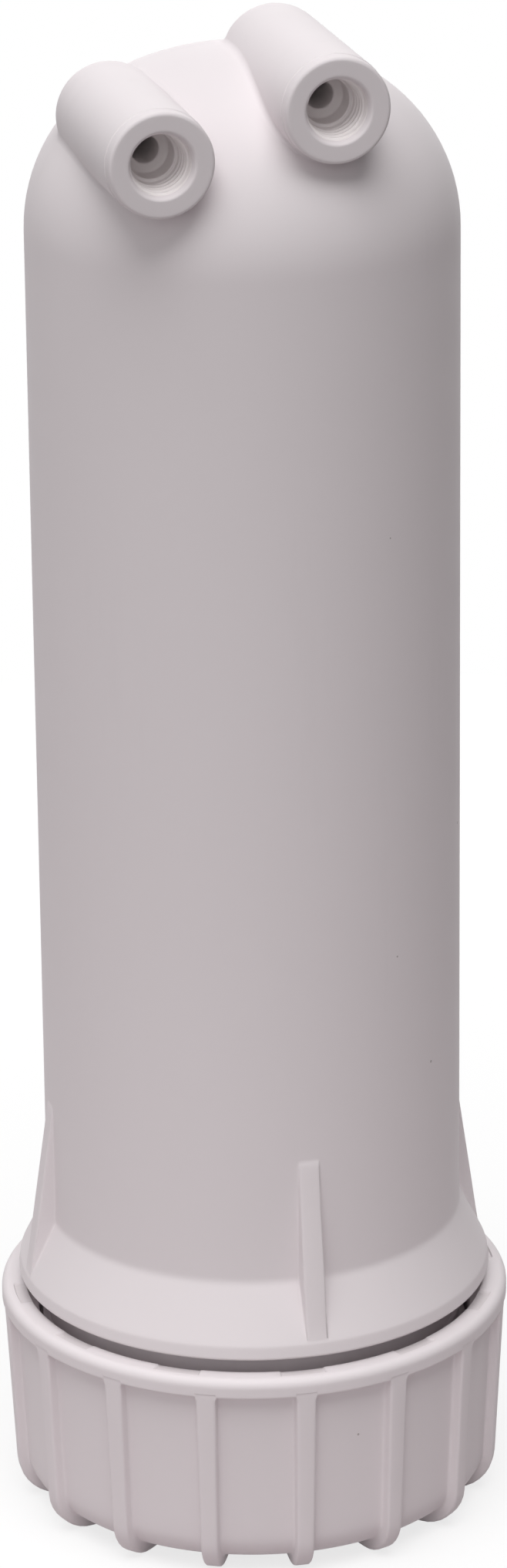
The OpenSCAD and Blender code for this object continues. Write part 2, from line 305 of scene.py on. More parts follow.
# %% Columns of a skin
PANEL_COLUMNS = 4
EDGE_POINTS = 5
EDGE_DRAFT = 0.12
SOFT_SHARE = 0.4


def sweep_columns(row_count, columns):
    """Angles and shares of a plain turned skin, which has no ribs."""
    angles = np.linspace(0, 2 * math.pi, columns, endpoint=False)
    return np.tile(angles, (row_count, 1)), np.zeros((row_count, columns))


def rib_columns(height, half_width, turn_r, count, phase, soft, panel_columns=PANEL_COLUMNS):
    """Angles of the columns in each row, and their shares of the way from the wall to the crest.

    `height` is the rib's height, `half_width` half its width and `turn_r` the radius at which it has that
    width, each with one value per row. `soft` is the radius of the rib's edges and of its root fillets.
    """
    share = np.minimum(soft / np.maximum(height, soft), SOFT_SHARE)[:, None]
    bend = np.radians(np.linspace(90, 0, EDGE_POINTS))[None, :]
    width = half_width[:, None]
    side = np.concatenate((
        width - EDGE_DRAFT - soft + soft * np.cos(bend),
        width + soft * (1 - np.sin(bend)),
        width + soft + GUARD,
    ), axis=1)
    rise = np.concatenate((
        1 - share + share * np.sin(bend),
        share * (1 - np.cos(bend)),
        0 * share,
    ), axis=1)
    angle = np.arcsin(side / turn_r[:, None])
    spread = np.arange(1, panel_columns + 1)[None, :] / panel_columns
    panel = angle[:, -1:] + spread * (math.pi / count - angle[:, -1:])
    flat = np.zeros_like(panel)
    middle = np.zeros((len(height), 1))
    period = np.concatenate((-panel[:, -2::-1], -angle[:, ::-1], middle, angle, panel), axis=1)
    shares = np.concatenate((flat[:, -2::-1], rise[:, ::-1], middle + 1, rise, flat), axis=1)
    angles = np.concatenate([period + phase + 2 * math.pi * i / count for i in range(count)], axis=1)
    return angles, np.tile(shares, (1, count))


print("columns across a rib:", 2 * (2 * EDGE_POINTS + 1) + 1)


# %% Points and faces of a skin
def turned(wall_outline, crest_outline, angles, shares):
    """Points of a skin that is swept round the Z axis."""
    way = crest_outline - wall_outline
    r = wall_outline[:, :1] + shares * way[:, :1]
    z = wall_outline[:, 1:] + shares * way[:, 1:]
    return np.stack((r * np.cos(angles), r * np.sin(angles), z), axis=2)


def grid_faces(rows, columns, closed_rows):
    """Faces of a grid that closes round its columns, and along its rows if asked."""
    i = np.arange(rows if closed_rows else rows - 1)[:, None]
    j = np.arange(columns)[None, :]
    here, there = i * columns, (i + 1) % rows * columns
    nxt = (j + 1) % columns
    quads = np.stack((here + j, here + nxt, there + nxt, there + j), axis=2)
    return quads.reshape(-1, 4).tolist()


def skin(points, closed_rows=False):
    rows, columns = points.shape[:2]
    return points.reshape(-1, 3), grid_faces(rows, columns, closed_rows)


print("faces of a grid of 3 rows and 4 columns:", len(grid_faces(3, 4, False)))

# %% [markdown]
# ## From skins to objects
# Several closed skins make one object, as several cavities make one moulding. Points that meet on the axis
# are welded, the faces are turned to look outwards, and edges sharper than the given angle stay sharp.

# %% Objects from skins
SHARP = math.radians(34)
WELD = 0.0005


def finish_mesh(mesh):
    bm = bmesh.new()
    bm.from_mesh(mesh)
    bmesh.ops.remove_doubles(bm, verts=bm.verts, dist=WELD * MM)
    bmesh.ops.recalc_face_normals(bm, faces=bm.faces)
    bm.to_mesh(mesh)
    bm.free()
    mesh.shade_smooth()
    mesh.set_sharp_from_angle(angle=SHARP)


def mesh_object(name, skins):
    points, faces, first = [], [], 0
    for part_points, part_faces in skins:
        points.append(part_points)
        faces += [[first + i for i in face] for face in part_faces]
        first += len(part_points)
    mesh = bpy.data.meshes.new(name)
    mesh.from_pydata((np.concatenate(points) * MM).tolist(), [], faces)
    finish_mesh(mesh)
    made = bpy.data.objects.new(name, mesh)
    bpy.context.scene.collection.objects.link(made)
    print("%s: %d points, %d faces" % (name, len(mesh.vertices), len(mesh.polygons)))
    return made


# %% Cuts and masks
def cut_away(made, cutters):
    """Takes the cutters out of an object with the Boolean modifier, and removes them."""
    for cutter in cutters:
        modifier = made.modifiers.new("cut", "BOOLEAN")
        modifier.object = cutter
        modifier.solver = "EXACT"
    bpy.context.view_layer.update()
    seen = made.evaluated_get(bpy.context.evaluated_depsgraph_get())
    mesh = bpy.data.meshes.new_from_object(seen)
    made.modifiers.clear()
    made.data = mesh
    for cutter in cutters:
        bpy.data.objects.remove(cutter)


def points_mm(made):
    return np.array([v.co for v in made.data.vertices]) / MM


def skin_of(made):
    """The points and faces of an object, to be joined with other skins. The object is removed."""
    points = points_mm(made)
    faces = [list(p.vertices) for p in made.data.polygons]
    bpy.data.objects.remove(made)
    return points, faces


def mark(made, name, mask):
    """Writes a mask, with one value for each point, which a material can read."""
    layer = made.data.attributes.new(name, "FLOAT", "POINT")
    layer.data.foreach_set("value", np.asarray(mask, np.float32))
    print("%s: %d points" % (name, np.count_nonzero(mask)))


# %% [markdown]
# ## The tube, the dome and the collar
# The housing's wall is one outline: from the crown of the dome down the outside, over the conical collar,
# round the end of the neck and back up inside. A cylinder, a ball and a cone could be joined instead, but
# one outline leaves no seams between them. The four gussets above the collar are the crests of this grid.
# Their outer edge is a straight line from the foot of the collar's cone up to the tube.

# %% Tube and dome
GUSSET_SOFT = 0.5
GUSSET_PANEL_COLUMNS = 32
GUSSET_ROWS = (4, 1, 0, -1, -2, -4)
CROWN_STEPS = 10
SHOULDER_STEPS = 18


def dome_arcs(thickness):
    """Points of the dome from its crown down to the tube, `thickness` inside its outer face."""
    crown = arc((0, crown_centre_z), crown_r - thickness, 90, meet_angle, CROWN_STEPS)
    shoulder = arc((shoulder_reach, shoulder_z), shoulder_r - thickness, meet_angle, 0, SHOULDER_STEPS)
    return np.concatenate((crown, shoulder[1:]))


def gusset_crest(outline):
    heights = (collar_cone_z, gusset_top_z - 2 * GUARD, gusset_top_z - GUARD, gusset_top_z)
    radii = (gusset_foot_r, tube_r + gusset_end, tube_r + gusset_end / 2, tube_r)
    line_r = np.interp(outline[:, 1], heights, radii)
    reached = (outline[:, 1] > collar_cone_z) & (outline[:, 1] < gusset_top_z)
    crest = outline.copy()
    crest[reached, 0] = np.maximum(crest[reached, 0], line_r[reached])
    return crest


def tube_skin():
    gusset_top = [(tube_r, gusset_top_z + row * GUARD, 0) for row in GUSSET_ROWS]
    collar = rounded(gusset_top + [
        (tube_r, collar_top_z, collar_line_round),
        (collar_r - collar_lean, collar_cone_z, collar_edge_round),
        (collar_r, collar_z, edge_round),
        (tube_r, collar_z, edge_round),
        (tube_r, neck_z, edge_round),
        (bore_r, neck_z, edge_round),
        (bore_r, neck_z + 2 * wall, 0),
    ])
    outside = np.concatenate((dome_arcs(0), divided(collar, wall)))
    wall_outline = np.concatenate((outside, dome_arcs(wall)[::-1]))
    crest = wall_outline.copy()
    crest[:len(outside)] = gusset_crest(outside)
    height = crest[:, 0] - wall_outline[:, 0]
    turn_r = np.full(len(crest), tube_r)
    turn_r[:len(outside)] = np.maximum(outside[:, 0], tube_r)
    half_width = np.full(len(crest), gusset_half)
    angles, shares = rib_columns(height, half_width, turn_r, gusset_count, math.radians(-90), GUSSET_SOFT,
                                 GUSSET_PANEL_COLUMNS)
    return skin(turned(wall_outline, crest, angles, shares))


print("points down the dome:", len(dome_arcs(0)))

# %% [markdown]
# ## The port barrels
# Each port is a barrel that lies on the dome and ends in a round back. Its outline starts at the back, runs
# along the barrel to the stepped lip, over the flat face and into the threaded hole. A plain hole follows
# the thread, and a narrow water passage ends it. The hole could be drilled with the Boolean modifier, but a
# turned outline gives its soft edges at once. Only the dome's wall is cut, where it would show inside the
# hole.

# %% Port barrels
BARREL_COLUMNS = 112
BACK_STEPS = 12
CORE_COLUMNS = 48
PORT_CORE_R = 8.5


def bore_corners(mouth):
    """Corners of a threaded port's bore, from its mouth to the start of its passage."""
    thread_end, hole_end = mouth + thread_depth, mouth + hole_depth
    return [
        (thread_r + mouth_chamfer, mouth, mouth_round),
        (thread_r, mouth + 2 * mouth_chamfer, throat_round),
        (thread_end_r, thread_end, thread_end_round),
        (hole_r, thread_end, step_round),
        (hole_r, hole_end, hole_round),
        (passage_r, hole_end, passage_round),
    ]


def port_outline(length):
    """Outline of a port as (radius, depth), from its round back to the end of its passage."""
    back = arc((0, length), port_r, 90, 0, BACK_STEPS)
    lip = [
        (port_r, length, 0),
        (port_r, lip_w + lip_slope_w, 0),
        (port_r, lip_w, 0),
        (lip_r, lip_w - lip_slope_w, 0),
        (lip_r, lip_w - 2 * lip_slope_w, 0),
        (lip_r, 0, lip_round),
    ]
    front = rounded(lip + bore_corners(0) + [(passage_r, length, 0), (0, length, 0)])
    return np.concatenate((back[:-1], front))


def along_port(points, x, z):
    """Turns points whose Z is the depth in a port into the vessel's frame."""
    return np.column_stack((x + points[:, 0], port_face_y + points[:, 2], z - points[:, 1]))


def port_barrel(x, z, length):
    outline = port_outline(length)
    angles, shares = sweep_columns(len(outline), BARREL_COLUMNS)
    points, faces = skin(turned(outline, outline, angles, shares))
    return along_port(points, x, z), faces


def port_core(x, z, length):
    """Cutter for the part of the dome's wall that lies inside a barrel."""
    outline = np.array(((0, -1), (PORT_CORE_R, -1), (PORT_CORE_R, length), (0, length)), float)
    angles, shares = sweep_columns(len(outline), CORE_COLUMNS)
    points, faces = skin(turned(outline, outline, angles, shares))
    return mesh_object("port_core", [(along_port(points, x, z), faces)])


print("points of a port's outline:", len(port_outline(permeate_len)))

# %% [markdown]
# ## Soft seams
# Where a barrel runs into the dome, the mould leaves a small hollow fillet. A bevel could make it only if
# the two skins were first joined along one clean edge. A ball that rolls along the seam and touches both
# surfaces leaves the same shape and needs no joining. A short tracing loop follows the seam, where the
# distances to the dome and to the barrel are both zero. At each step it finds the ball that touches both
# surfaces at a given setback from the seam, and an arc between its two touching points is the fillet. The
# ball is small where the surfaces meet in a narrow angle and large where they meet in a wide one.

# %% Distances
SLOPE_STEP = 1e-4


def dome_distance(p):
    r, z = math.hypot(p[0], p[1]), p[2]
    if z <= shoulder_z:
        return r - tube_r
    if math.degrees(math.atan2(z - shoulder_z, r - shoulder_reach)) > meet_angle:
        return math.hypot(r, z - crown_centre_z) - crown_r
    return math.hypot(r - shoulder_reach, z - shoulder_z) - shoulder_r


def barrel_distance(p, x, z, length):
    y = min(max(p[1], port_face_y), port_face_y + length)
    return math.sqrt((p[0] - x) ** 2 + (p[1] - y) ** 2 + (p[2] - z) ** 2) - port_r


def slope(distance, p):
    """Direction in which a distance grows fastest."""
    steps = np.eye(3) * SLOPE_STEP
    return unit(np.array([distance(p + s) - distance(p - s) for s in steps]))


print("crown from the dome: %.6f mm" % dome_distance(np.array((0, 0, crown_z))))

# %% The seam
SEAM_STEP = 0.5
SEAM_LEAST = 20
SEAM_MOST = 2000
SETTLE_ROUNDS = 20


def settle(p, first, second, gap):
    """Moves a point until it is `gap` away from both surfaces."""
    for _ in range(SETTLE_ROUNDS):
        miss = np.array((first(p) - gap, second(p) - gap))
        slopes = np.array((slope(first, p), slope(second, p)))
        p = p - np.linalg.pinv(slopes) @ miss
    return p


def seam_path(start, first, second):
    """The closed line in which two surfaces meet."""
    path = [settle(start, first, second, 0)]
    while len(path) < SEAM_MOST:
        p = path[-1]
        ahead = unit(np.cross(slope(first, p), slope(second, p)))
        path.append(settle(p + ahead * SEAM_STEP, first, second, 0))
        if len(path) > SEAM_LEAST and np.linalg.norm(path[-1] - path[0]) < SEAM_STEP:
            break
    return path


print("steps along a seam: %.1f mm" % SEAM_STEP)

# %% The fillet
SEAM_SETBACK = 1.3
SEAM_R_MOST = 6.0
FILLET_POINTS = 9
TOUCH = 0.01


def fillet_row(seam, first, second):
    """Points across the fillet at one point of the seam, and one point behind it in the wall."""
    n1, n2 = slope(first, seam), slope(second, seam)
    half = math.acos(np.clip(n1 @ n2, -1, 1)) / 2
    radius = min(SEAM_SETBACK / math.tan(half), SEAM_R_MOST)
    middle = settle(seam + unit(n1 + n2) * radius / math.cos(half), first, second, radius)
    n1, n2 = slope(first, middle), slope(second, middle)
    apart = math.acos(np.clip(n1 @ n2, -1, 1))
    arcs = [(n1 * math.sin((1 - f) * apart) + n2 * math.sin(f * apart)) / math.sin(apart)
            for f in np.linspace(0, 1, FILLET_POINTS)]
    return [middle - n * (radius + TOUCH) for n in arcs] + [seam - unit(n1 + n2)]


def port_fillet(x, z, length):
    def barrel(p):
        return barrel_distance(p, x, z, length)

    start = np.array((x + port_r, port_face_y + length / 2, z))
    rows = [fillet_row(p, dome_distance, barrel) for p in seam_path(start, dome_distance, barrel)]
    print("fillet: %d steps along its seam" % len(rows))
    return skin(np.array(rows), closed_rows=True)


# %% [markdown]
# ## Screw threads
# The drawing leaves plain cylinders where the threads are. A thread is a ridge that winds round a wall, so
# its section is carried along a helix. Blender's Screw modifier winds a section too, but it can't fade the
# ridge out at its two ends, as a moulded thread does. The ridge of the neck and the ridge of the cap share
# one lead and lie half a turn apart, so that one slides between the other's turns when the vessel is
# unscrewed.

# %% Thread helper
THREAD_STEPS = 72
SINK = 0.3
FADE_TURNS = 0.35


def helix_ridge(wall_r, tall, pitch, base_w, crest_w, start, end, turn=0.0, taper=0.0):
    """A ridge that winds up a wall from the height `start` to `end`.

    The wall's radius is `wall_r` at the start and grows by `taper` for each millimetre along the axis.
    `tall` is negative where the ridge stands inwards.
    """
    turns = (end - start) / pitch
    steps = math.ceil(turns * THREAD_STEPS)
    sink = -math.copysign(SINK, tall)
    rows = []
    for i in range(steps + 1):
        done = turns * i / steps
        grow = min(1.0, done / FADE_TURNS, (turns - done) / FADE_TURNS)
        grow = grow * grow * (3 - 2 * grow)
        angle = turn + 2 * math.pi * done
        z = start + pitch * done
        r = wall_r + taper * (z - start)
        section = ((sink, -base_w / 2), (0, -base_w / 2), (tall * grow, -crest_w / 2),
                   (tall * grow, crest_w / 2), (0, base_w / 2), (sink, base_w / 2))
        rows.append([((r + a) * math.cos(angle), (r + a) * math.sin(angle), z + b) for a, b in section])
    points, faces = skin(np.array(rows))
    columns = len(section)
    last = len(rows) * columns
    return points, faces + [list(range(columns)), list(range(last - columns, last))]


print("faces of a ridge of one turn:", len(helix_ridge(9, 1, 2, 1, 0.5, 0, 2)[1]))

# %% Thread sizes
LEAD = 6.0
neck_thread_z = (neck_z + 5, collar_z - 9)
cap_thread_z = (floor_z + 6, cap_h - 9)
ridge_tall = 1.5
ridge_base = 2.6
ridge_crest = 1.3
port_pitch = 1.41
port_ridge_tall = -0.3
port_ridge_base = 1.0
port_ridge_crest = 0.4
port_taper = (thread_end_r - thread_r) / (thread_depth - 2 * mouth_chamfer)


def port_ridge(mouth_at):
    """The ridge of a tapered pipe thread, whose mouth is at the height `mouth_at`."""
    start = mouth_at + (2 * mouth_chamfer + port_ridge_base)
    end = mouth_at + thread_depth - port_ridge_base
    wall_r = thread_r + port_taper * port_ridge_base
    return helix_ridge(wall_r, port_ridge_tall, port_pitch, port_ridge_base, port_ridge_crest, start, end,
                       taper=port_taper)


def port_thread(x, z):
    points, faces = port_ridge(0)
    return along_port(points, x, z), faces


print("turns of the neck's thread: %.1f" % ((neck_thread_z[1] - neck_thread_z[0]) / LEAD))

# %% [markdown]
# ## The vessel
# Now the skins come together: the wall with the barrels' cores cut out, the two barrels with their threads
# and fillets, the socket for the core tube under the crown, and the neck's thread.

# %% Parts of the vessel
# Mask of the ports' holes, which take a paler tint: painted light deep inside the holes.
PAINTED_BORE_LIGHT = "clean"
SOCKET_COLUMNS = 96


def in_holes(points):
    """Tells which points lie in the ports' holes."""
    inside = np.zeros(len(points), bool)
    for x, z, length in port_ends.values():
        off = np.hypot(points[:, 0] - x, points[:, 2] - z)
        depth = points[:, 1] - port_face_y
        inside |= (off < thread_r) & (depth > mouth_chamfer) & (depth < length + GUARD)
    return inside


def socket_boss():
    top_z = crown_z - wall / 2
    outline = rounded([
        (0, top_z, 0),
        (socket_boss_r, top_z, 0),
        (socket_boss_r, socket_z, edge_round),
        (socket_r + socket_draft, socket_z, edge_round),
        (socket_r, socket_end_z, socket_round),
        (0, socket_end_z, 0),
    ])
    angles, shares = sweep_columns(len(outline), SOCKET_COLUMNS)
    return skin(turned(outline, outline, angles, shares))


print("socket %.1f mm deep" % (socket_end_z - socket_z))


# %% Vessel
def make_vessel():
    tube = mesh_object("tube", [tube_skin()])
    cut_away(tube, [port_core(*place) for place in port_ends.values()])
    skins = [skin_of(tube), socket_boss()]
    for x, z, length in port_ends.values():
        skins += [port_barrel(x, z, length), port_fillet(x, z, length), port_thread(x, z)]
    skins.append(helix_ridge(tube_r, ridge_tall, LEAD, ridge_base, ridge_crest, *neck_thread_z))
    vessel = mesh_object("vessel_moulding", skins)
    # The points in the ports' holes are marked for a paler tint: painted light.
    mark(vessel, PAINTED_BORE_LIGHT, in_holes(points_mm(vessel)))
    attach(vessel, "vessel")
    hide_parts("vessel_body")
    return vessel


vessel = make_vessel()

# %% [markdown]
# ## The screw cap
# The cap's outline is a closed loop: over the rim, down the outside, in under the floor, up through the
# feed port and back over the floor, the seal's groove and the cap's bore. The crest outline differs from it
# only on the outside, where the sixteen grip ribs run down the wall, round the heel and in under the floor
# as feet. The shallow notches in the rim's inner edge come last: their columns are set between the others
# and pushed down.

# %% Rim
NOTCH_STEP = 0.12
RIM_STEPS = 9


def cap_rim():
    """Rim from its inner edge over its rounded top to just above its lower edge."""
    notch_r = mouth_r + notch_in
    flat = [(r, cap_h) for r in (mouth_r + mouth_edge, notch_r - NOTCH_STEP, notch_r + NOTCH_STEP)]
    edge = arc((cap_r - rim_round, cap_h - rim_round), rim_round, 90, 0, RIM_STEPS)
    face = [(cap_r, cap_h - rim_round - GUARD), (cap_r, ledge_top_z)]
    return np.concatenate((flat, edge, face))


print("points over the rim:", len(cap_rim()))

# %% Wall and ribs
RIB_SOFT = 0.65
WALL_ROWS = 5
FOOT_ROWS = 4
heel_corner_r = panel_r - (rim_z - foot_h) * cap_draft
rib_r = cap_r - rib_inset
rib_corner_r = rib_r - rim_z * cap_draft
foot_end_r = rib_corner_r - foot_reach
crest_top_z = rim_z + 1.2
wall_top_z = rim_z - 7
wall_foot_z = foot_h + heel_r + 3
foot_row_gap = 2


def cap_wall_rows():
    """Rows below the rim, as pairs of points: one on the panel and one on the rib's crest."""
    ledge = rounded([
        (cap_r, ledge_top_z, 0),
        (cap_r, ledge_edge_z, ledge_round),
        (panel_r, rim_z, edge_round),
        (panel_r - (rim_z - ledge_foot_z) * cap_draft, ledge_foot_z, 0),
    ])[1:]
    crest_z = np.linspace(crest_top_z, ledge_foot_z, len(ledge))
    pairs = [(p, (rib_r - (rim_z - z) * cap_draft * (z < rim_z), z)) for p, z in zip(ledge, crest_z)]
    for z in np.linspace(wall_top_z, wall_foot_z, WALL_ROWS):
        pairs.append(((panel_r - (rim_z - z) * cap_draft, z), (rib_r - (rim_z - z) * cap_draft, z)))
    panel_heel = rounded([(panel_r, rim_z, 0), (heel_corner_r, foot_h, heel_r), (0, foot_h, 0)])[2:-2]
    rib_heel = rounded([(rib_r, rim_z, 0), (rib_corner_r, 0, heel_r + rib_proud), (0, 0, 0)])[2:-2]
    pairs += list(zip(panel_heel, rib_heel))
    for r in np.linspace(panel_heel[-1][0] - foot_row_gap, foot_end_r + foot_h, FOOT_ROWS):
        pairs.append(((r, foot_h), (r, 0)))
    foot_end = rounded([(foot_end_r + foot_h, 0, 0), (foot_end_r, 0, foot_h / 2),
                        (foot_end_r - foot_h / 2, foot_h, 0)])[1:]
    pairs += [((r, foot_h), (r, z)) for r, z in foot_end]
    return np.array(pairs, float)


print("rows of the wall:", len(cap_wall_rows()))


# %% Inside of the cap
def cap_inside():
    """From under the floor up through the feed port and over the inside to the rim's inner edge."""
    underside = [(foot_end_r - foot_h, foot_h, 0)]
    inside = [
        (passage_r, feed_boss_z, passage_round),
        (feed_boss_r, feed_boss_z, edge_round),
        (feed_boss_r, floor_z, edge_round),
        (spigot_in_r, floor_z, edge_round),
        (spigot_in_r, spigot_z, edge_round),
        (spigot_r, spigot_z, edge_round),
        (spigot_r, floor_z, 0),
        (seal_r - groove_half, floor_z, groove_round),
        (seal_r - groove_half, groove_z, 0),
        (seal_r + groove_half, groove_z, 0),
        (seal_r + groove_half, floor_z, groove_round),
        (cap_bore_r, floor_z, edge_round),
        (cap_bore_r, mouth_cone_z, ledge_round),
        (mouth_r, mouth_z, ledge_round),
        (mouth_r, cap_h, edge_round),
        (mouth_r + mouth_edge, cap_h, 0),
    ]
    return rounded(underside + bore_corners(foot_h) + inside, PLAIN_STEP)[:-1]


print("points of the cap's inside:", len(cap_inside()))


# %% Columns of the notches
def with_extra_columns(angles, shares, extra):
    """Adds columns at the given angles of the first row, each between its two neighbours in every row."""
    first = angles[0]
    spots = np.mod(extra - first[0], 2 * math.pi) + first[0]
    left = np.searchsorted(first, spots) - 1
    ends = np.concatenate((angles, angles[:, :1] + 2 * math.pi), axis=1)
    share_ends = np.concatenate((shares, shares[:, :1]), axis=1)
    part = (spots - ends[0][left]) / (ends[0][left + 1] - ends[0][left])
    new_angles = ends[:, left] * (1 - part) + ends[:, left + 1] * part
    new_shares = share_ends[:, left] * (1 - part) + share_ends[:, left + 1] * part
    all_angles = np.concatenate((angles, new_angles), axis=1)
    order = np.argsort(all_angles[0])
    return all_angles[:, order], np.concatenate((shares, new_shares), axis=1)[:, order]


notch_pitch = 2 * math.pi / notch_count
notch_mid_r = mouth_r + notch_in / 2


def notch_columns():
    """Angles of the columns at the foot and the top of each notch's two end walls."""
    edge = notch_half / notch_mid_r
    ramp = 2 * NOTCH_STEP / notch_mid_r
    return np.array([grip_phase + 2 * math.pi * i / notch_count + side * (edge + lean)
                     for i in range(notch_count) for side in (-1, 1) for lean in (-ramp, ramp)])


def notch_depths(angles):
    """How far each column lies in a notch, from 0 to 1."""
    turned_off = np.mod(angles - grip_phase + notch_pitch / 2, notch_pitch) - notch_pitch / 2
    off = np.abs(turned_off) * notch_mid_r
    return np.clip((notch_half - off) / (4 * NOTCH_STEP) + 0.5, 0, 1)


print("notch columns:", len(notch_columns()))

# %% Cap skin
# Mask of the notches' floors, which take a darker tint: painted shade in these shallow recesses, with a
# little dust.
SHADE_AND_DUST = "dust"
notch_floor_z = cap_h - notch_deep


def in_notch_ring(r):
    return (r > mouth_r - NOTCH_STEP) & (r < mouth_r + notch_in)


def cap_skin():
    rim, inside, pairs = cap_rim(), cap_inside(), cap_wall_rows()
    wall_outline = np.concatenate((rim, pairs[:, 0], inside))
    crest = np.concatenate((rim, pairs[:, 1], inside))
    outer = slice(len(rim), len(rim) + len(pairs))
    height = np.full(len(crest), rib_proud)
    half_width = np.interp(crest[:, 1], (0, rim_z), (rib_half_foot, rib_half_top))
    turn_r = np.full(len(crest), rib_corner_r)
    turn_r[outer] = np.linalg.norm(np.column_stack((crest[outer, 0], half_width[outer])), axis=1)
    turn_r[:len(rim)] = cap_r
    angles, shares = rib_columns(height, half_width, turn_r, rib_count, grip_phase, RIB_SOFT)
    angles, shares = with_extra_columns(angles, shares, notch_columns())
    points = turned(wall_outline, crest, angles, shares)
    lowered = in_notch_ring(wall_outline[:, 0]) & (wall_outline[:, 1] > notch_floor_z)
    drop = np.where(lowered, wall_outline[:, 1] - notch_floor_z, 0)
    points[:, :, 2] -= drop[:, None] * notch_depths(angles)
    return skin(points, closed_rows=True)


def on_notch_floors(points):
    """How far each point lies on a notch's floor, from 0 to 1."""
    in_ring = in_notch_ring(np.hypot(points[:, 0], points[:, 1]))
    on_top = points[:, 2] > notch_floor_z - NOTCH_STEP
    return in_ring * on_top * notch_depths(np.arctan2(points[:, 1], points[:, 0]))


print("floor of the notches at %.1f mm" % notch_floor_z)


# %% Cap
def make_cap():
    thread = helix_ridge(cap_bore_r, -ridge_tall, LEAD, ridge_base, ridge_crest, *cap_thread_z,
                         turn=math.pi)
    cap = mesh_object("cap_moulding", [cap_skin(), thread, port_ridge(foot_h)])
    # The notches' floors are marked for a darker tint: painted shade with a little dust.
    mark(cap, SHADE_AND_DUST, on_notch_floors(points_mm(cap)))
    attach(cap, "cap")
    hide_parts("screw_cap")
    return cap


cap = make_cap()

# %% [markdown]
# ## Finishes
# The housing is off-white polypropylene with a satin skin. Three effects make a moulded skin look real: the
# fine grain that the mould leaves, a slow drift of tint through the plastic with a few dark specks in it,
# and faint scuffs from handling. Each is a node group, built once, and each material places them with its
# own values.

# %% Node helpers
def new_group(name, inputs, outputs):
    group = bpy.data.node_groups.new(name, "ShaderNodeTree")
    for label, kind, value in inputs:
        socket = group.interface.new_socket(label, in_out="INPUT", socket_type=kind)
        socket.default_value = value
    for label, kind in outputs:
        group.interface.new_socket(label, in_out="OUTPUT", socket_type=kind)
    start = group.nodes.new("NodeGroupInput")
    end = group.nodes.new("NodeGroupOutput")
    return group, start, end


def add_node(tree, kind, links=(), **settings):
    """A node with its settings. Each of its links is an input with the socket or the value it takes."""
    node = tree.nodes.new(kind)
    for key, value in settings.items():
        setattr(node, key, value)
    for key, value in links:
        if isinstance(value, bpy.types.NodeSocket):
            tree.links.new(value, node.inputs[key])
        else:
            node.inputs[key].default_value = value
    return node


def math_node(tree, operation, a, b):
    return add_node(tree, "ShaderNodeMath", [(0, a), (1, b)], operation=operation).outputs[0]


def mix_colour(tree, factor, a, b):
    return add_node(tree, "ShaderNodeMix", [(0, factor), (6, a), (7, b)], data_type="RGBA").outputs[2]


def object_place(tree):
    return add_node(tree, "ShaderNodeTexCoord").outputs["Object"]


def noise(tree, scale, detail=2.0, rough=0.5, place=None):
    links = [("Vector", place or object_place(tree)), ("Scale", scale), ("Detail", detail),
             ("Roughness", rough)]
    return add_node(tree, "ShaderNodeTexNoise", links).outputs[0]


# %% [markdown]
# ### Grain of the mould
# A mould's steel is blasted with fine grit, and the plastic copies it. Real geometry would need millions of
# faces for that, so two noises give a height for a bump: a fine one for the grit and a wide one for the
# faint ripple of cooling plastic. The wide one also makes the gloss patchy.

# %% Mould grain group
FINE_SHARE = 0.35
NOISE_MIDDLE = 0.5


def mould_grain():
    """Fine grain of a moulded skin, as a height, and the patchy gloss that goes with it."""
    group, start, end = new_group(
        "mould grain",
        [("Grain", "NodeSocketFloat", 1500.0), ("Ripple", "NodeSocketFloat", 120.0),
         ("Roughness", "NodeSocketFloat", 0.45), ("Spread", "NodeSocketFloat", 0.1)],
        [("Height", "NodeSocketFloat"), ("Roughness", "NodeSocketFloat")])
    fine = noise(group, start.outputs["Grain"], detail=3.0, rough=0.6)
    wide = noise(group, start.outputs["Ripple"], detail=1.0)
    height = math_node(group, "ADD", math_node(group, "MULTIPLY", fine, FINE_SHARE), wide)
    group.links.new(height, end.inputs["Height"])
    centred = math_node(group, "SUBTRACT", wide, NOISE_MIDDLE)
    swing = math_node(group, "MULTIPLY", centred, start.outputs["Spread"])
    group.links.new(math_node(group, "ADD", start.outputs["Roughness"], swing), end.inputs["Roughness"])
    return group


GRAIN = mould_grain()
print("group:", GRAIN.name)

# %% [markdown]
# ### Tint of the plastic
# White plastic is never one flat colour. A slow noise drifts between two close tints, and a cell pattern
# sets a dark speck into a few of its cells, as burnt grains do in a real moulding.

# %% Tint drift group
SPECKLESS = 0.8
SPECK_SHADE = 0.6


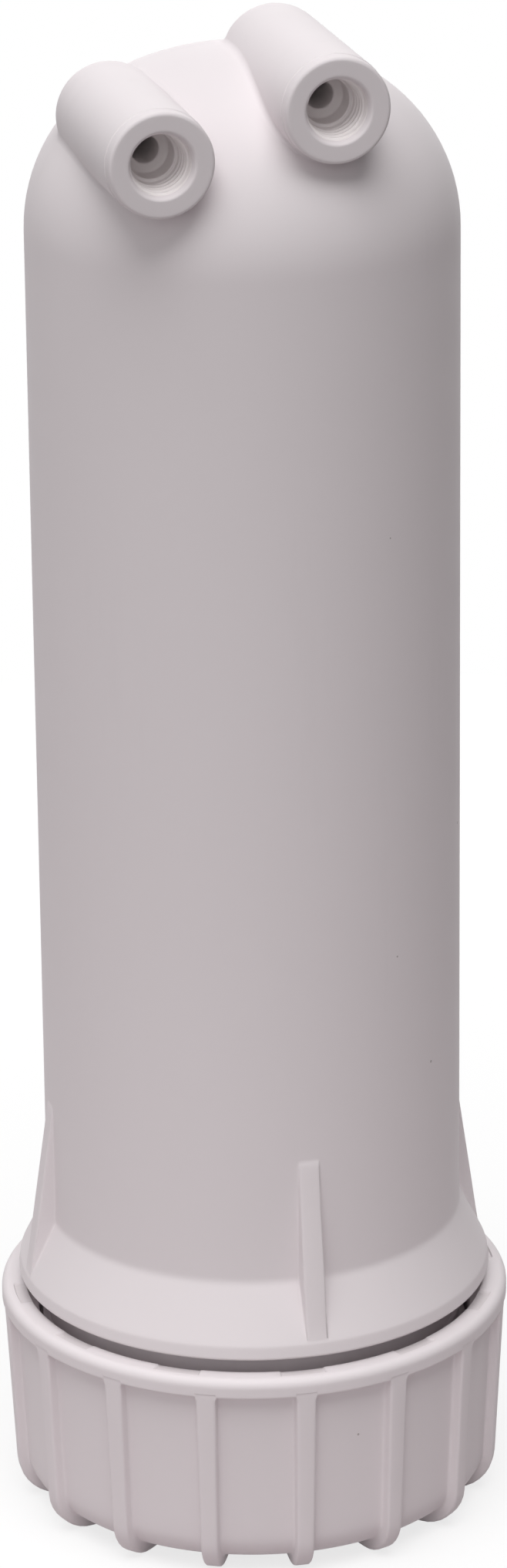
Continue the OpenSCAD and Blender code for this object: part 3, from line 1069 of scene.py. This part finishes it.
def tint_drift():
    """Slow drift between two tints, with a few dark specks set in the plastic."""
    group, start, end = new_group(
        "tint drift",
        [("Tint", "NodeSocketColor", (0.8, 0.8, 0.8, 1)),
         ("Second tint", "NodeSocketColor", (0.7, 0.7, 0.7, 1)),
         ("Drift", "NodeSocketFloat", 12.0), ("Speck", "NodeSocketColor", (0.2, 0.17, 0.15, 1)),
         ("Speck scale", "NodeSocketFloat", 90.0), ("Speck size", "NodeSocketFloat", 0.03)],
        [("Color", "NodeSocketColor")])
    slow = noise(group, start.outputs["Drift"], detail=3.0, rough=0.55)
    tint = mix_colour(group, slow, start.outputs["Tint"], start.outputs["Second tint"])
    cells = add_node(group, "ShaderNodeTexVoronoi",
                     [("Vector", object_place(group)), ("Scale", start.outputs["Speck scale"])])
    chance = add_node(group, "ShaderNodeSeparateColor", [("Color", cells.outputs["Color"])]).outputs[0]
    pick = math_node(group, "GREATER_THAN", chance, SPECKLESS)
    near = math_node(group, "LESS_THAN", cells.outputs["Distance"], start.outputs["Speck size"])
    speck = math_node(group, "MULTIPLY", math_node(group, "MULTIPLY", pick, near), SPECK_SHADE)
    group.links.new(mix_colour(group, speck, tint, start.outputs["Speck"]), end.inputs["Color"])
    return group


DRIFT = tint_drift()
print("group:", DRIFT.name)

# %% [markdown]
# ### Scuffs
# Hands and shelves leave faint dull streaks on a housing. A noise that is stretched along the piece gives
# them, and only its highest values count, so that most of the skin stays clean.

# %% Scuff group
STREAK_STRETCH = (1.0, 1.0, 0.12)
STREAK_LEAN = (0.3, 0.2, 0.0)
STREAK_FROM = 0.6
STREAK_FULL = 0.78


def handling_scuffs():
    """Faint streaks that handling leaves along a piece, as a mask."""
    group, start, end = new_group(
        "handling scuffs",
        [("Scale", "NodeSocketFloat", 60.0), ("Amount", "NodeSocketFloat", 0.3)],
        [("Mask", "NodeSocketFloat")])
    stretch = add_node(group, "ShaderNodeMapping",
                       [("Vector", object_place(group)), ("Scale", STREAK_STRETCH),
                        ("Rotation", STREAK_LEAN)])
    streak = noise(group, start.outputs["Scale"], detail=5.0, rough=0.65, place=stretch.outputs[0])
    ramp = add_node(group, "ShaderNodeMapRange",
                    [("Value", streak), ("From Min", STREAK_FROM), ("From Max", STREAK_FULL),
                     ("To Max", start.outputs["Amount"])])
    group.links.new(ramp.outputs[0], end.inputs["Mask"])
    return group


SCUFFS = handling_scuffs()
print("group:", SCUFFS.name)

# %% [markdown]
# ## Materials
# One function makes every moulded or rubber finish from the three groups. Values that are the same all over
# a surface, such as the refraction of the plastic, sit on the shader itself. Two masks on the points change
# the housing's tint: painted shade with a little dust darkens the notches' floors, and painted light makes
# the ports' holes paler deep inside.

# %% Material maker
# Darker tint of the notches' floors: painted shade in the recesses, with a little dust.
SHADE_AND_DUST_TINT = (0.42, 0.38, 0.37, 1)
# Paler tint of the ports' holes: painted light that brightens them deep inside.
PAINTED_BORE_LIGHT_TINT = (0.93, 0.88, 0.88, 1)
SCUFF_SHADE = 0.9
SCUFF_DULLS = 0.2
GRAIN_DEPTH = 0.0002


def place_group(tree, group, **values):
    node = add_node(tree, "ShaderNodeGroup", node_tree=group)
    for label, value in values.items():
        node.inputs[label.replace("_", " ").capitalize()].default_value = value
    return node


def moulded(name, tint, second_tint, roughness, spread=0.1, grain=1500.0, ripple=120.0, bump=0.1, scuff=0.3,
            speck=(0.25, 0.21, 0.19), speck_size=0.03, ior=1.49, sheen=0.5, dust=0.0, clean=0.0):
    material = bpy.data.materials.new(name)
    material.use_nodes = True
    tree = material.node_tree
    shader = tree.nodes["Principled BSDF"]
    skin_grain = place_group(tree, GRAIN, grain=grain, ripple=ripple, roughness=roughness, spread=spread)
    drift = place_group(tree, DRIFT, tint=(*tint, 1), second_tint=(*second_tint, 1), speck=(*speck, 1),
                        speck_size=speck_size)
    scuffs = place_group(tree, SCUFFS, amount=scuff)
    scuffed_tint = (*np.array(tint) * SCUFF_SHADE, 1)
    colour = mix_colour(tree, scuffs.outputs["Mask"], drift.outputs["Color"], scuffed_tint)
    # Two marks change the tint: painted shade with a little dust on the notches' floors, and painted light
    # that makes the ports' holes paler.
    for mark_name, amount, mark_tint in ((SHADE_AND_DUST, dust, SHADE_AND_DUST_TINT), (PAINTED_BORE_LIGHT, clean, PAINTED_BORE_LIGHT_TINT)):
        marked = add_node(tree, "ShaderNodeAttribute", attribute_name=mark_name).outputs["Fac"]
        colour = mix_colour(tree, math_node(tree, "MULTIPLY", marked, amount), colour, mark_tint)
    tree.links.new(colour, shader.inputs["Base Color"])
    rough = math_node(tree, "ADD", skin_grain.outputs["Roughness"],
                      math_node(tree, "MULTIPLY", scuffs.outputs["Mask"], SCUFF_DULLS))
    tree.links.new(rough, shader.inputs["Roughness"])
    relief = add_node(tree, "ShaderNodeBump", [("Height", skin_grain.outputs["Height"]), ("Strength", bump),
                                               ("Distance", GRAIN_DEPTH)])
    tree.links.new(relief.outputs[0], shader.inputs["Normal"])
    shader.inputs["IOR"].default_value = ior
    shader.inputs["Specular IOR Level"].default_value = sheen
    return material


# %% Materials of the pieces
# The housing's notches are darkened with painted shade and a little dust, and its ports' holes are painted
# paler as painted light.
housing = moulded("housing_white", (0.81, 0.755, 0.772), (0.78, 0.725, 0.742), 0.58, sheen=0.3, dust=0.2,
                  clean=1.0)
rubber = moulded("seal_rubber", (0.022, 0.022, 0.025), (0.03, 0.03, 0.032), 0.55, bump=0.2, scuff=0.5,
                 speck=(0.08, 0.08, 0.08), ior=1.52)
core = moulded("core_plastic", (0.68, 0.69, 0.66), (0.62, 0.63, 0.60), 0.38, scuff=0.4)
plug = moulded("plug_plastic", (0.045, 0.05, 0.055), (0.06, 0.065, 0.07), 0.4, scuff=0.6)
membrane = moulded("membrane_leaves", (0.74, 0.68, 0.54), (0.66, 0.60, 0.46), 0.75, grain=900.0, bump=0.6,
                   scuff=0.2, speck_size=0.06)
wrap = moulded("wrap_tape", (0.84, 0.84, 0.80), (0.79, 0.80, 0.77), 0.28, spread=0.2, ripple=45.0, bump=0.3)
PIECE_FINISHES = {
    "cap_o_ring": rubber, "permeate_tube": core, "core_plug": plug, "membrane_roll": membrane,
    "outer_wrap": wrap, "brine_seal": rubber, "lower_core_o_ring": rubber, "upper_core_o_ring": rubber,
}
for made in (vessel, cap):
    made.data.materials.append(housing)
for node, material in PIECE_FINISHES.items():
    frame["nodes"][node].data.materials.clear()
    frame["nodes"][node].data.materials.append(material)
print("finished pieces:", len(PIECE_FINISHES) + 2)

# %% [markdown]
# ## Studio
# The photograph has a broad soft light overhead, a bright wall at the left and a white ground. A very soft
# sun lamp is the light overhead, and it leans a little to the front. A weak one at the front reaches into
# the ports, and another lights the back, which the camera does not see. The world is the wall: it is bright
# above the horizon at the left, fades out to the right, and is dim below. To the camera the world is plain
# white. The floor is white to the camera too and keeps the vessel's shadow, but it throws only half of its
# light back.

# %% World
WALL_GLOW = 0.29
WALL_SIDE = (-1.0, 0.0, 0.0)
BELOW = 0.08
HORIZON_FROM = -0.05
HORIZON_TO = 0.12
WHITE = (1.0, 1.0, 1.0, 1.0)


def seen_rays(tree):
    """1 for rays that should see white: those of the camera, of reflections and through glass."""
    path = add_node(tree, "ShaderNodeLightPath").outputs
    both = math_node(tree, "MAXIMUM", path["Is Camera Ray"], path["Is Glossy Ray"])
    return math_node(tree, "MAXIMUM", both, path["Is Transmission Ray"])


def make_world():
    world = bpy.data.worlds.new("studio")
    world.use_nodes = True
    tree = world.node_tree
    tree.nodes.clear()
    way = add_node(tree, "ShaderNodeTexCoord").outputs["Generated"]
    lean = add_node(tree, "ShaderNodeVectorMath", [(0, way), (1, WALL_SIDE)], operation="DOT_PRODUCT")
    side = math_node(tree, "ADD", lean.outputs["Value"], 1.0)
    height = add_node(tree, "ShaderNodeSeparateXYZ", [("Vector", way)]).outputs["Z"]
    above = add_node(tree, "ShaderNodeMapRange",
                     [("Value", height), ("From Min", HORIZON_FROM), ("From Max", HORIZON_TO),
                      ("To Min", BELOW), ("To Max", WALL_GLOW)])
    strength = math_node(tree, "MULTIPLY", side, above.outputs[0])
    wall_light = add_node(tree, "ShaderNodeBackground", [("Color", WHITE), ("Strength", strength)])
    white = add_node(tree, "ShaderNodeBackground", [("Color", WHITE), ("Strength", 1.0)])
    mixed = add_node(tree, "ShaderNodeMixShader",
                     [(0, seen_rays(tree)), (1, wall_light.outputs[0]), (2, white.outputs[0])])
    add_node(tree, "ShaderNodeOutputWorld", [("Surface", mixed.outputs[0])])
    bpy.context.scene.world = world
    print("world:", world.name)


make_world()

# %% [markdown]
# ### Floor
# The vessel stands on a white disc. It would look grey where no lamp reaches it, so for the camera most of
# its colour is a plain glow, and the rest is paint that takes the shadow. For the light that it throws back
# on the vessel it is a darker, warm paint.

# %% Floor
FLOOR_GLOW = 0.75
FLOOR_BOUNCE = (0.48, 0.43, 0.44, 1.0)
FLOOR_R = 0.55
FLOOR_SIDES = 96


def make_floor():
    mesh = bpy.data.meshes.new("floor")
    angles = np.linspace(0, 2 * math.pi, FLOOR_SIDES, endpoint=False)
    edge = np.column_stack((FLOOR_R * np.cos(angles), FLOOR_R * np.sin(angles), np.zeros(FLOOR_SIDES)))
    mesh.from_pydata(edge.tolist(), [], [list(range(FLOOR_SIDES))])
    floor = bpy.data.objects.new("floor", mesh)
    bpy.context.scene.collection.objects.link(floor)
    material = bpy.data.materials.new("floor_white")
    material.use_nodes = True
    tree = material.node_tree
    tree.nodes.clear()
    seen = seen_rays(tree)
    paint_colour = mix_colour(tree, seen, FLOOR_BOUNCE, WHITE)
    paint = add_node(tree, "ShaderNodeBsdfDiffuse", [("Color", paint_colour)])
    glow = add_node(tree, "ShaderNodeEmission", [("Color", WHITE), ("Strength", 1.0)])
    mixed = add_node(tree, "ShaderNodeMixShader",
                     [(0, math_node(tree, "MULTIPLY", seen, FLOOR_GLOW)), (1, paint.outputs[0]),
                      (2, glow.outputs[0])])
    add_node(tree, "ShaderNodeOutputMaterial", [("Surface", mixed.outputs[0])])
    mesh.materials.append(material)
    print("floor: %.2f m across" % (2 * FLOOR_R))


make_floor()

# %% [markdown]
# ### Lamps
# Each lamp is a sun with a wide angle, which gives soft shadows without a lamp's body in the picture. A
# lamp has its strength, its angle in degrees, and the way to its source.

# %% Lamps
LAMPS = {
    "overhead": (2.18, 50, (-0.08, -0.28, 1.0)),
    "front": (0.26, 40, (-0.35, -1.0, 0.4)),
    "behind": (0.6, 60, (0.45, 1.0, 0.25)),
}


def make_lamp(name, strength, spread, source):
    data = bpy.data.lights.new(name, "SUN")
    data.energy = strength
    data.angle = math.radians(spread)
    lamp = bpy.data.objects.new(name, data)
    bpy.context.scene.collection.objects.link(lamp)
    lamp.rotation_euler = Vector(source).to_track_quat("Z", "Y").to_euler()


for name, (strength, spread, source) in LAMPS.items():
    make_lamp(name, strength, spread, source)
bpy.context.scene.view_settings.view_transform = "Standard"
print("lamps:", ", ".join(LAMPS))
